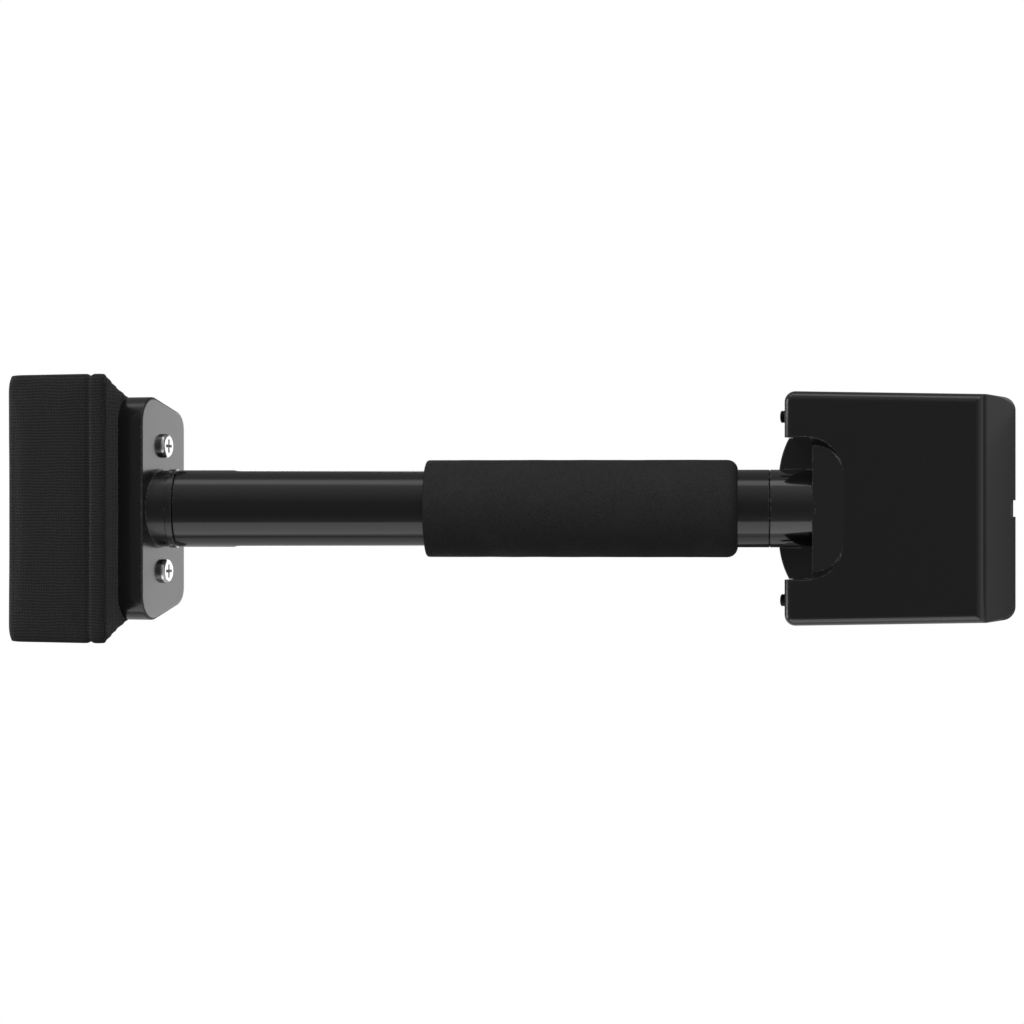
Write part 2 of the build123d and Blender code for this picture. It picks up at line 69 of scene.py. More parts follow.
ACROSS = Vector((0.0, 1.0, 0.0))


class Slot(Enum):
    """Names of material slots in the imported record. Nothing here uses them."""

    GRIP = "grip_foam"
    COVER = "pad_cloth"


class Group(Enum):
    """Shared shader effects, each built once."""

    PEEL = "paint_peel"
    EDGE = "edge_wear"
    KNIT = "knit_cloth"
    PORES = "foam_pores"
    BRUSH = "brushed_grain"


# ---------------------------------------------------------------- shader helpers
@dataclass
class Bench:
    """Adds and links nodes in one shader tree.

    Args:
        tree: The node tree of a material or a node group.
    """

    tree: bpy.types.NodeTree

    def add(self, kind: str, **values: object) -> bpy.types.Node:
        """Adds a node.

        Args:
            kind: Node type without its ShaderNode prefix.
            values: Node properties, or input values under their names with spaces as underscores.

        Returns:
            The new node.
        """
        node = self.tree.nodes.new("ShaderNode" + kind)
        for name, value in values.items():
            label = name.replace("_", " ").title()
            if label in node.inputs:
                node.inputs[label].default_value = value
            else:
                setattr(node, name, value)
        return node

    def join(self, source: bpy.types.NodeSocket, target: bpy.types.NodeSocket) -> None:
        """Links an output to an input."""
        self.tree.links.new(source, target)

    def math(
        self, operation: str, first: object, second: object = None, clamp: bool = False
    ) -> bpy.types.NodeSocket:
        """Adds a Math node.

        Args:
            operation: Name of the operation.
            first: Number or output for the first input.
            second: Number or output for the second input, if there is one.
            clamp: Whether the result is held between 0 and 1.

        Returns:
            The node's output.
        """
        node = self.tree.nodes.new("ShaderNodeMath")
        node.operation = operation
        node.use_clamp = clamp
        for index, value in enumerate((first, second)):
            if isinstance(value, bpy.types.NodeSocket):
                self.join(value, node.inputs[index])
            elif value is not None:
                node.inputs[index].default_value = value
        return node.outputs[0]

    def mix(
        self, factor: object, first: object, second: object
    ) -> bpy.types.NodeSocket:
        """Mixes two colours.

        Args:
            factor: Number or output, 0 for the first colour.
            first: Colour or output.
            second: Colour or output.

        Returns:
            The mixed colour's output.
        """
        node = self.tree.nodes.new("ShaderNodeMix")
        node.data_type = "RGBA"
        for socket, value in ((node.inputs[0], factor), (node.inputs[6], first), (node.inputs[7], second)):
            if isinstance(value, bpy.types.NodeSocket):
                self.join(value, socket)
            else:
                socket.default_value = value
        return node.outputs[2]

    def span(
        self, value: bpy.types.NodeSocket, low: float, high: float, new_low: float, new_high: float
    ) -> bpy.types.NodeSocket:
        """Maps one range of values to another, clamped.

        Args:
            value: Output to map.
            low: Value that becomes new_low.
            high: Value that becomes new_high.
            new_low: Result at low.
            new_high: Result at high.

        Returns:
            The mapped output.
        """
        node = self.tree.nodes.new("ShaderNodeMapRange")
        for index, number in enumerate((low, high, new_low, new_high), start=1):
            node.inputs[index].default_value = number
        self.join(value, node.inputs[0])
        return node.outputs[0]


def new_group(name: Group, inputs: dict[str, float], outputs: list[str]) -> tuple[Bench, dict]:
    """Starts a shader node group.

    Args:
        name: Which shared effect it is.
        inputs: Names of the float inputs and their defaults.
        outputs: Names of the outputs. One called Normal is a vector, and the rest are floats.

    Returns:
        The group's bench, and its input and output nodes by the keys "in" and "out".
    """
    tree = bpy.data.node_groups.new(name.value, "ShaderNodeTree")
    for label, value in inputs.items():
        socket = tree.interface.new_socket(label, in_out="INPUT", socket_type="NodeSocketFloat")
        socket.default_value = value
    for label in outputs:
        kind = "NodeSocketVector" if label == "Normal" else "NodeSocketFloat"
        tree.interface.new_socket(label, in_out="OUTPUT", socket_type=kind)
    ends = {
        "in": tree.nodes.new("NodeGroupInput").outputs,
        "out": tree.nodes.new("NodeGroupOutput").inputs,
    }
    return Bench(tree), ends


def noise(
    bench: Bench, coordinates: bpy.types.NodeSocket, scale: object, detail: float = 2.0
) -> bpy.types.NodeSocket:
    """Adds a noise texture on given coordinates.

    Args:
        bench: Tree that it goes in.
        coordinates: Output with the coordinates.
        scale: Number or output for the scale.
        detail: Noise detail.

    Returns:
        The noise value's output.
    """
    node = bench.add("TexNoise", detail=detail)
    bench.join(coordinates, node.inputs["Vector"])
    if isinstance(scale, bpy.types.NodeSocket):
        bench.join(scale, node.inputs["Scale"])
    else:
        node.inputs["Scale"].default_value = scale
    return node.outputs[0]


def build_peel_group() -> None:
    """Orange peel, dust and dullness of sprayed enamel."""
    bench, ends = new_group(Group.PEEL, {"Scale": 1.0}, ["Height", "Dust", "Dullness"])
    where = bench.add("TexCoord").outputs["Object"]
    scale = ends["in"]["Scale"]
    ripple = noise(bench, where, bench.math("MULTIPLY", scale, 420.0), 1.0)
    swell = noise(bench, where, bench.math("MULTIPLY", scale, 90.0), 1.0)
    height = bench.math("ADD", bench.math("MULTIPLY", ripple, 0.35), swell)
    bench.join(height, ends["out"]["Height"])
    specks = noise(bench, where, bench.math("MULTIPLY", scale, 2600.0), 0.0)
    bench.join(bench.span(specks, 0.74, 0.8, 0.0, 1.0), ends["out"]["Dust"])
    cloud = noise(bench, where, bench.math("MULTIPLY", scale, 28.0), 4.0)
    bench.join(bench.span(cloud, 0.35, 0.7, 0.0, 1.0), ends["out"]["Dullness"])


def build_edge_group() -> None:
    """Mask of worn edges, broken up by noise, and the normal of their small rounds."""
    bench, ends = new_group(Group.EDGE, {"Radius": 0.0008, "Amount": 0.5}, ["Wear", "Normal"])
    rounded = bench.add("Bevel")
    rounded.samples = 4
    bench.join(ends["in"]["Radius"], rounded.inputs["Radius"])
    true_normal = bench.add("NewGeometry").outputs["Normal"]
    dot = bench.add("VectorMath")
    dot.operation = "DOT_PRODUCT"
    bench.join(rounded.outputs[0], dot.inputs[0])
    bench.join(true_normal, dot.inputs[1])
    edge = bench.span(dot.outputs["Value"], 0.995, 0.9, 0.0, 1.0)
    where = bench.add("TexCoord").outputs["Object"]
    ragged = bench.span(noise(bench, where, 700.0, 5.0), 0.5, 0.68, 0.0, 1.0)
    wear = bench.math("MULTIPLY", bench.math("MULTIPLY", edge, ragged), ends["in"]["Amount"], clamp=True)
    bench.join(wear, ends["out"]["Wear"])
    bench.join(rounded.outputs[0], ends["out"]["Normal"])


def build_knit_group() -> None:
    """Knit cloth: rows of V stitches in a piece's own map, with fuzz between them, and a mask of painted
    shade in the grooves.
    """
    bench, ends = new_group(Group.KNIT, {"Stitches": 700.0}, ["Height", "Shade", "Fuzz"])
    uv = bench.add("UVMap", uv_map="cloth").outputs[0]
    apart = bench.add("SeparateXYZ")
    wobble = bench.add("TexNoise", detail=2.0)
    wobble.inputs["Scale"].default_value = 60.0
    bench.join(uv, wobble.inputs["Vector"])
    bench.join(uv, apart.inputs[0])
    drift = bench.math("MULTIPLY", bench.math("SUBTRACT", wobble.outputs[0], 0.5), 1.2)
    across = bench.math("ADD", bench.math("MULTIPLY", apart.outputs[0], ends["in"]["Stitches"]), drift)
    along = bench.math("ADD", bench.math("MULTIPLY", apart.outputs[1], ends["in"]["Stitches"]), drift)
    leg = bench.math("PINGPONG", across, 0.5)
    slanted = bench.math("ADD", bench.math("MULTIPLY", along, 1.25), bench.math("MULTIPLY", leg, 1.1))
    course = bench.math("SINE", bench.math("MULTIPLY", slanted, math.tau))
    wale = bench.math("SINE", bench.math("MULTIPLY", leg, math.tau))
    stitch = bench.math("MULTIPLY", bench.math("ADD", bench.math("MULTIPLY", course, 0.5), 0.5), wale)
    fuzz = bench.add("TexNoise", detail=3.0)
    fuzz.inputs["Scale"].default_value = 2600.0
    bench.join(uv, fuzz.inputs["Vector"])
    height = bench.math("ADD", stitch, bench.math("MULTIPLY", fuzz.outputs[0], 0.5))
    bench.join(height, ends["out"]["Height"])
    # Shade: mask that darkens the grooves between stitches, painted shade.
    bench.join(bench.span(stitch, 0.0, 0.8, 0.0, 1.0), ends["out"]["Shade"])
    bench.join(fuzz.outputs[0], ends["out"]["Fuzz"])


def build_pores_group() -> None:
    """Fine open pores and moulded skin of closed cell foam, and a mask of painted shade in the pits of the
    pores.
    """
    bench, ends = new_group(Group.PORES, {"Scale": 1.0}, ["Height", "PoreShade", "Mottle"])
    where = bench.add("TexCoord").outputs["Object"]
    cells = bench.add("TexVoronoi")
    bench.join(where, cells.inputs["Vector"])
    bench.join(bench.math("MULTIPLY", ends["in"]["Scale"], 1500.0), cells.inputs["Scale"])
    skin = noise(bench, where, bench.math("MULTIPLY", ends["in"]["Scale"], 480.0), 4.0)
    # The pit mask sinks the pores, and its output darkens them as painted shade.
    shaded_pit = bench.span(cells.outputs["Distance"], 0.1, 0.5, 0.0, 1.0)
    bench.join(bench.math("ADD", bench.math("MULTIPLY", shaded_pit, 0.6), skin), ends["out"]["Height"])
    bench.join(shaded_pit, ends["out"]["PoreShade"])
    coarse = bench.math("MULTIPLY", ends["in"]["Scale"], 70.0)
    bench.join(noise(bench, where, coarse, 5.0), ends["out"]["Mottle"])


def build_brush_group() -> None:
    """Fine grinding marks and stains of bare or plated metal."""
    bench, ends = new_group(Group.BRUSH, {"Scale": 1.0}, ["Height", "Stain"])
    where = bench.add("TexCoord").outputs["Object"]
    stretch = bench.add("Mapping")
    stretch.inputs["Scale"].default_value = (40.0, 1600.0, 1600.0)
    bench.join(where, stretch.inputs["Vector"])
    lines = noise(bench, stretch.outputs[0], ends["in"]["Scale"], 3.0)
    bench.join(lines, ends["out"]["Height"])
    bench.join(noise(bench, where, 160.0, 5.0), ends["out"]["Stain"])


# ---------------------------------------------------------------- finishes
def start_material(name: str) -> tuple[bpy.types.Material, Bench, bpy.types.Node]:
    """Makes an empty material with a Principled shader.

    Args:
        name: The material's name.

    Returns:
        The material, its bench and its Principled node.
    """
    material = bpy.data.materials.new(name)
    material.use_nodes = True
    material.node_tree.nodes.clear()
    bench = Bench(material.node_tree)
    shader = bench.add("BsdfPrincipled")
    output = bench.add("OutputMaterial")
    bench.join(shader.outputs[0], output.inputs[0])
    return material, bench, shader


def place_group(bench: Bench, name: Group, **values: float) -> dict:
    """Places a shared effect in a material.

    Args:
        bench: The material's bench.
        name: Which effect.
        values: Values of its inputs, by name.

    Returns:
        The group's outputs by name.
    """
    node = bench.tree.nodes.new("ShaderNodeGroup")
    node.node_tree = bpy.data.node_groups[name.value]
    for label, value in values.items():
        node.inputs[label].default_value = value
    return node.outputs


def add_bump(
    bench: Bench, shader: bpy.types.Node, height: bpy.types.NodeSocket, strength: float, distance: float,
    normal: bpy.types.NodeSocket | None = None,
) -> None:
    """Feeds a height through a Bump node into a shader's normal.

    Args:
        bench: The material's bench.
        shader: Shader whose normal it drives.
        height: Output with the height.
        strength: Bump strength.
        distance: Height of the bumps in metres.
        normal: Output with the normal the bumps stand on, if not the surface's own.
    """
    bump = bench.add("Bump")
    bump.inputs["Strength"].default_value = strength
    bump.inputs["Distance"].default_value = distance
    bench.join(height, bump.inputs["Height"])
    if normal is not None:
        bench.join(normal, bump.inputs["Normal"])
    bench.join(bump.outputs[0], shader.inputs["Normal"])


@dataclass(frozen=True)
class Enamel:
    """Glossy black enamel over cast or drawn metal."""

    name: str
    colour: tuple[float, float, float, float] = (0.0065, 0.0065, 0.0068, 1.0)
    metal: tuple[float, float, float, float] = (0.32, 0.32, 0.33, 1.0)
    gloss: float = 0.13
    dull: float = 0.24
    peel: float = 0.16
    wear: float = 0.5
    scale: float = 1.0
    edge_round: float = 1.0 * MM
    coat: float = 0.35

    def build(self) -> bpy.types.Material:
        """Builds the material."""
        material, bench, shader = start_material(self.name)
        peel = place_group(bench, Group.PEEL, Scale=self.scale)
        edge = place_group(bench, Group.EDGE, Radius=self.edge_round, Amount=self.wear)
        dusty = bench.mix(bench.math("MULTIPLY", peel["Dust"], 0.05), self.colour, (0.12, 0.12, 0.115, 1.0))
        bench.join(bench.mix(edge["Wear"], dusty, self.metal), shader.inputs["Base Color"])
        bench.join(bench.span(peel["Dullness"], 0.0, 1.0, self.gloss, self.dull), shader.inputs["Roughness"])
        bench.join(bench.math("MULTIPLY", edge["Wear"], 0.8), shader.inputs["Metallic"])
        shader.inputs["Coat Weight"].default_value = self.coat
        shader.inputs["Coat Roughness"].default_value = 0.08
        add_bump(bench, shader, peel["Height"], self.peel, 0.0001, edge["Normal"])
        return material


@dataclass(frozen=True)
class BareMetal:
    """Plated, ground or oxidised metal with grinding marks and stains."""

    name: str
    colour: tuple[float, float, float, float]
    stained: tuple[float, float, float, float]
    rough: float = 0.25
    grain: float = 0.25

    def build(self) -> bpy.types.Material:
        """Builds the material."""
        material, bench, shader = start_material(self.name)
        brush = place_group(bench, Group.BRUSH, Scale=1.0)
        patches = bench.span(brush["Stain"], 0.42, 0.68, 0.0, 1.0)
        bench.join(bench.mix(patches, self.colour, self.stained), shader.inputs["Base Color"])
        dulled = bench.span(brush["Stain"], 0.3, 0.7, self.rough, self.rough * 1.7)
        bench.join(dulled, shader.inputs["Roughness"])
        shader.inputs["Metallic"].default_value = 1.0
        add_bump(bench, shader, brush["Height"], self.grain, 0.00005)
        return material


@dataclass(frozen=True)
class KnitCloth:
    """Matte black knit cloth, with painted shade in the grooves between its stitches."""

    name: str = "pad_knit"
    colour: tuple[float, float, float, float] = (0.0205, 0.0205, 0.0208, 1.0)
    groove_shade: tuple[float, float, float, float] = (0.006, 0.006, 0.0062, 1.0)
    stitches: float = 620.0

    def build(self) -> bpy.types.Material:
        """Builds the material."""
        material, bench, shader = start_material(self.name)
        knit = place_group(bench, Group.KNIT, Stitches=self.stitches)
        # Painted shade: the grooves between stitches take the darker groove colour.
        cloth = bench.mix(knit["Shade"], self.groove_shade, self.colour)
        lint = bench.span(knit["Fuzz"], 0.62, 0.85, 0.0, 0.35)
        bench.join(bench.mix(lint, cloth, (0.05, 0.05, 0.05, 1.0)), shader.inputs["Base Color"])
        bench.join(bench.span(knit["Fuzz"], 0.2, 0.8, 0.82, 1.0), shader.inputs["Roughness"])
        shader.inputs["Specular IOR Level"].default_value = 0.2
        shader.inputs["Sheen Weight"].default_value = 0.12
        shader.inputs["Sheen Roughness"].default_value = 0.5
        add_bump(bench, shader, knit["Height"], 0.7, 0.0004)
        return material


@dataclass(frozen=True)
class FoamSkin:
    """Matte black closed cell foam, with painted shade in the pits of its pores."""

    name: str = "grip_foam_skin"
    colour: tuple[float, float, float, float] = (0.0195, 0.0195, 0.0195, 1.0)
    shaded_pit: tuple[float, float, float, float] = (0.009, 0.009, 0.009, 1.0)

    def build(self) -> bpy.types.Material:
        """Builds the material."""
        material, bench, shader = start_material(self.name)
        pores = place_group(bench, Group.PORES, Scale=1.0)
        # Painted shade: the pits of the pores take the darker pit colour.
        skin = bench.mix(pores["PoreShade"], self.shaded_pit, self.colour)
        scuff = bench.span(pores["Mottle"], 0.5, 0.75, 0.0, 0.4)
        bench.join(bench.mix(scuff, skin, (0.03, 0.03, 0.03, 1.0)), shader.inputs["Base Color"])
        bench.join(bench.span(pores["Mottle"], 0.3, 0.7, 0.72, 0.92), shader.inputs["Roughness"])
        shader.inputs["Specular IOR Level"].default_value = 0.15
        add_bump(bench, shader, pores["Height"], 0.45, 0.0003)
        return material


@dataclass(frozen=True)
class Plywood:
    """Bare birch plywood with its plies showing at the edge."""

    name: str = "birch_plywood"

    def build(self) -> bpy.types.Material:
        """Builds the material."""
        material, bench, shader = start_material(self.name)
        where = bench.add("TexCoord").outputs["Object"]
        plies = bench.add("TexWave", wave_type="BANDS", bands_direction="X")
        plies.inputs["Scale"].default_value = 105.0
        plies.inputs["Distortion"].default_value = 0.6
        bench.join(where, plies.inputs["Vector"])
        grain = noise(bench, where, 240.0, 6.0)
        ply = bench.mix(plies.outputs[1], (0.5, 0.34, 0.19, 1.0), (0.68, 0.52, 0.33, 1.0))
        bench.join(bench.mix(bench.span(grain, 0.4, 0.7, 0.0, 0.5), ply, (0.36, 0.23, 0.12, 1.0)),
                   shader.inputs["Base Color"])
        shader.inputs["Roughness"].default_value = 0.7
        add_bump(bench, shader, grain, 0.3, 0.0002)
        return material


# ---------------------------------------------------------------- mesh helpers
def deselect_all() -> None:
    """Leaves object mode clean, with nothing selected."""
    if bpy.context.object and bpy.context.object.mode != "OBJECT":
        bpy.ops.object.mode_set(mode="OBJECT")
    bpy.ops.object.select_all(action="DESELECT")


def activate(piece: bpy.types.Object) -> None:
    """Selects one object alone and makes it active."""
    deselect_all()
    piece.select_set(True)
    bpy.context.view_layer.objects.active = piece


def settle(piece: bpy.types.Object, name: str) -> bpy.types.Object:
    """Puts a piece's place into its mesh and names it.

    Args:
        piece: The object.
        name: Its new name.

    Returns:
        The same object, at the origin, unturned and unscaled.
    """
    activate(piece)
    bpy.ops.object.transform_apply(location=True, rotation=True, scale=True)
    piece.name = name
    piece.data.name = name
    return piece


def apply_modifier(piece: bpy.types.Object, kind: str, **values: object) -> None:
    """Adds a modifier with the given settings and applies it at once.

    Args:
        piece: The object.
        kind: Modifier type.
        values: Its settings.
    """
    activate(piece)
    modifier = piece.modifiers.new(kind.lower(), kind)
    for name, value in values.items():
        setattr(modifier, name, value)
    bpy.ops.object.modifier_apply(modifier=modifier.name)


def face_outwards(piece: bpy.types.Object) -> None:
    """Merges doubles and points every face outwards."""
    activate(piece)
    bpy.ops.object.mode_set(mode="EDIT")
    bpy.ops.mesh.select_all(action="SELECT")
    bpy.ops.mesh.remove_doubles(threshold=0.00001)
    bpy.ops.mesh.normals_make_consistent(inside=False)
    bpy.ops.object.mode_set(mode="OBJECT")


def smooth(piece: bpy.types.Object, degrees: float) -> None:
    """Shades a piece smooth, with creases over an angle."""
    activate(piece)
    bpy.ops.object.shade_smooth_by_angle(angle=math.radians(degrees))


def dress(piece: bpy.types.Object, material: bpy.types.Material) -> None:
    """Gives a piece one material."""
    piece.data.materials.clear()
    piece.data.materials.append(material)


def report(piece: bpy.types.Object) -> None:
    """Logs a piece's name, faces and size."""
    size = [round(side / MM, 1) for side in piece.dimensions]
    LOG.info("%s: %d faces, %s mm", piece.name, len(piece.data.polygons), size)


@dataclass(frozen=True)
class HandleSpan:
    """Where a round node lies along the handle.

    Args:
        start: Point on the axis at the end nearer the head.
        length: Length along the handle in metres.
        radius: Outer radius in metres.
    """

    start: Vector
    length: float
    radius: float

    @classmethod
    def of_node(cls, node: str) -> "HandleSpan":
        """Measures a CAD node that is round about the handle's axis.

        Args:
            node: The node's name.

        Returns:
            Its span.
        """
        low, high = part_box("handle_tube")
        centre = (low + high) / 2
        points = [vertex.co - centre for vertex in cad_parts[node].data.vertices]
        along = [point.dot(HANDLE_AXIS) for point in points]
        radius = max((point - HANDLE_AXIS * point.dot(HANDLE_AXIS)).length for point in points)
        return cls(centre + HANDLE_AXIS * min(along), max(along) - min(along), radius)

    def point(self, distance: float) -> Vector:
        """Gives the point on the axis at a distance from the start."""
        return self.start + HANDLE_AXIS * distance


# ---------------------------------------------------------------- soft pieces
@dataclass
class KneePad:
    """The upholstered knee pad: foam on a board under one knit cover."""

    low: Vector
    high: Vector
    top_width: float = 120.0 * MM
    shoulder_width: float = 102.0 * MM
    bottom_width: float = 76.0 * MM
    shoulder_drop: float = 16.0 * MM
    corner: float = 4.5 * MM
    shoulder_round: float = 12.0 * MM
    knee_edge_round: float = 4.0 * MM
    board_edge_round: float = 1.6 * MM
    flat_angle: float = 0.05
    bevel_segments: int = 5
    pressure: float = 4.0
    stiffness: float = 120.0
    damping: float = 50.0
    air_drag: float = 5.0
    last_frame: int = 20
    most_swell: float = 0.9 * MM
    most_dip: float = 0.2 * MM
    voxel: float = 2.4 * MM
    board_band: float = 7.8 * MM
    groove_depth: float = 0.9 * MM
    groove_reach: float = 1.0 * MM
    opening: tuple[float, float] = (70.0 * MM, 24.0 * MM)
    pocket: float = 3.0 * MM
    cloth: KnitCloth = field(default_factory=KnitCloth)

    @property
    def centre(self) -> Vector:
        """Middle of the pad."""
        return (self.low + self.high) / 2

    @property
    def seam(self) -> float:
        """Where along X the foam meets the board."""
        return self.high.x - self.board_band

    def block(self) -> bpy.types.Object:
        """Models the pad's firm form: broad at the top, falling in below its shoulders.

        Returns:
            A closed block with rounded corners and edges.
        """
        size = Vector((self.high.x - self.low.x, self.top_width, self.high.z - self.low.z))
        shoulder = self.high.z - self.shoulder_drop
        deselect_all()
        bpy.ops.mesh.primitive_cube_add(size=1.0, location=self.centre, scale=size)
        pad = settle(bpy.context.object, "knee_pad")
        activate(pad)
        bpy.ops.object.mode_set(mode="EDIT")
        bpy.ops.mesh.select_mode(type="VERT")
        bpy.ops.mesh.select_all(action="SELECT")
        bpy.ops.mesh.bisect(plane_co=(0.0, 0.0, shoulder), plane_no=(0.0, 0.0, 1.0))
        for level, width in ((shoulder, self.shoulder_width), (self.low.z, self.bottom_width)):
            bpy.ops.mesh.select_all(action="DESELECT")
            mesh = bmesh.from_edit_mesh(pad.data)
            for vertex in mesh.verts:
                vertex.select_set(abs(vertex.co.z - level) < 0.1 * MM)
            mesh.select_flush(True)
            bmesh.update_edit_mesh(pad.data)
            bpy.ops.transform.resize(value=(1.0, width / self.top_width, 1.0), center_override=self.centre)
        bpy.ops.object.mode_set(mode="OBJECT")
        face_outwards(pad)
        self.round_edges(
            pad,
            self.shoulder_round,
            lambda a, b: a.y * b.y > 0 and abs(a.z + b.z - 2 * shoulder) < MM and abs(a.x - b.x) > MM,
        )
        self.round_edges(pad, self.corner, lambda a, b: abs(a.x - b.x) > MM and min(
            abs(a.z - self.high.z), abs(a.z - self.low.z)) < 0.1 * MM)
        self.round_edges(pad, self.knee_edge_round, lambda a, b: max(a.x, b.x) < self.low.x + 0.1 * MM)
        self.round_edges(pad, self.board_edge_round, lambda a, b: min(a.x, b.x) > self.high.x - 0.1 * MM)
        return pad

    def round_edges(
        self, pad: bpy.types.Object, radius: float, chosen: Callable[[Vector, Vector], bool]
    ) -> None:
        """Bevels the edges that a test picks out, leaving those that lie flat within a face.

        Args:
            pad: The block.
            radius: Bevel width in metres.
            chosen: Test on the places of an edge's two ends.
        """
        activate(pad)
        bpy.ops.object.mode_set(mode="EDIT")
        bpy.ops.mesh.select_mode(type="EDGE")
        bpy.ops.mesh.select_all(action="DESELECT")
        mesh = bmesh.from_edit_mesh(pad.data)
        mesh.normal_update()
        for edge in mesh.edges:
            turns = edge.calc_face_angle(0.0) > self.flat_angle
            edge.select_set(turns and chosen(edge.verts[0].co, edge.verts[1].co))
        bmesh.update_edit_mesh(pad.data)
        bpy.ops.mesh.bevel(offset=radius, offset_type="OFFSET", segments=self.bevel_segments, profile=0.5)
        bpy.ops.object.mode_set(mode="OBJECT")

    def ease(self, travel: float) -> float:
        """Limits how far the cover goes out, and how far it goes in against the foam.

        Args:
            travel: Simulated movement along the outward normal, in metres.

        Returns:
            The movement that is kept.
        """
        limit = self.most_swell if travel > 0 else self.most_dip
        return limit * math.tanh(travel / limit)

    def swell_foam(self, pad: bpy.types.Object) -> None:
        """Lets the foam push the cover out by cloth simulation, held at the board.

        Args:
            pad: The block, remeshed by this method.
        """
        apply_modifier(pad, "REMESH", mode="VOXEL", voxel_size=self.voxel)
        face_outwards(pad)
        held = pad.vertex_groups.new(name="board")
        held.add([v.index for v in pad.data.vertices if v.co.x > self.seam - self.voxel], 1.0, "REPLACE")
        start = [(vertex.co.copy(), vertex.normal.copy()) for vertex in pad.data.vertices]
        cloth = pad.modifiers.new("cloth", "CLOTH")
        cloth.settings.vertex_group_mass = held.name
        cloth.settings.use_pressure = True
        cloth.settings.uniform_pressure_force = self.pressure
        cloth.settings.tension_stiffness = self.stiffness
        cloth.settings.tension_damping = self.damping
        cloth.settings.compression_damping = self.damping
        cloth.settings.shear_damping = self.damping
        cloth.settings.air_damping = self.air_drag
        cloth.settings.effector_weights.gravity = 0.0
        for number in range(1, self.last_frame + 1):
            bpy.context.scene.frame_set(number)
        activate(pad)
        bpy.ops.object.modifier_apply(modifier=cloth.name)
        bpy.context.scene.frame_set(1)
        for vertex, (origin, outward) in zip(pad.data.vertices, start):
            vertex.co = origin + outward * self.ease((vertex.co - origin).dot(outward))

    def sew(self, pad: bpy.types.Object) -> None:
        """Draws the cover in at the joint of foam and board, and flattens it on the board.

        Args:
            pad: The swollen cover.
        """
        activate(pad)
        bpy.ops.object.mode_set(mode="EDIT")
        for step in (-2.0, -1.0, -0.5, 0.0, 0.5, 1.0, 2.0):
            bpy.ops.mesh.select_all(action="SELECT")
            bpy.ops.mesh.bisect(
                plane_co=(self.seam + step * self.groove_reach, 0.0, 0.0), plane_no=(1.0, 0.0, 0.0)
            )
        bpy.ops.object.mode_set(mode="OBJECT")
        for vertex in pad.data.vertices:
            away = Vector((0.0, vertex.co.y, vertex.co.z - self.centre.z))
            depth = self.groove_depth * math.exp(-((vertex.co.x - self.seam) / self.groove_reach) ** 2)
            vertex.co -= away.normalized() * depth
            if vertex.co.x > self.high.x - 0.5 * MM:
                vertex.co.x = self.high.x

    def open_back(self, pad: bpy.types.Object) -> None:
        """Opens the cover over the board, where its edges are stapled down.

        Args:
            pad: The sewn cover.
        """
        activate(pad)
        bpy.ops.object.mode_set(mode="EDIT")
        bpy.ops.mesh.select_mode(type="FACE")
        bpy.ops.mesh.select_all(action="DESELECT")
        mesh = bmesh.from_edit_mesh(pad.data)
        for face in mesh.faces:
            spot = face.calc_center_median() - self.centre
            inside = abs(spot.y) < self.opening[0] / 2 and abs(spot.z) < self.opening[1] / 2
            face.select_set(face.normal.x > 0.9 and inside and spot.x > 0)
        bmesh.update_edit_mesh(pad.data)
        bpy.ops.mesh.extrude_region_move(TRANSFORM_OT_translate={"value": (-self.pocket, 0.0, 0.0)})
        bpy.ops.object.mode_set(mode="OBJECT")

    def build(self) -> bpy.types.Object:
        """Makes the pad, lays its cloth map, dresses it and hands it to the tool.

        Returns:
            The finished pad.
        """
        pad = self.block()
        self.swell_foam(pad)
        apply_modifier(pad, "SUBSURF", levels=1, render_levels=1)
        self.sew(pad)
        self.open_back(pad)
        pad.vertex_groups.clear()
        face_outwards(pad)
        pad.data.uv_layers.new(name="cloth")
        activate(pad)
        bpy.ops.object.mode_set(mode="EDIT")
        bpy.ops.mesh.select_all(action="SELECT")
        bpy.ops.uv.cube_project(cube_size=1.0, correct_aspect=False, scale_to_bounds=False)
        bpy.ops.object.mode_set(mode="OBJECT")
        smooth(pad, 50.0)
        dress(pad, self.cloth.build())
        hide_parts("pad_cover", "pad_foam")
        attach(pad, "tool")
        return pad


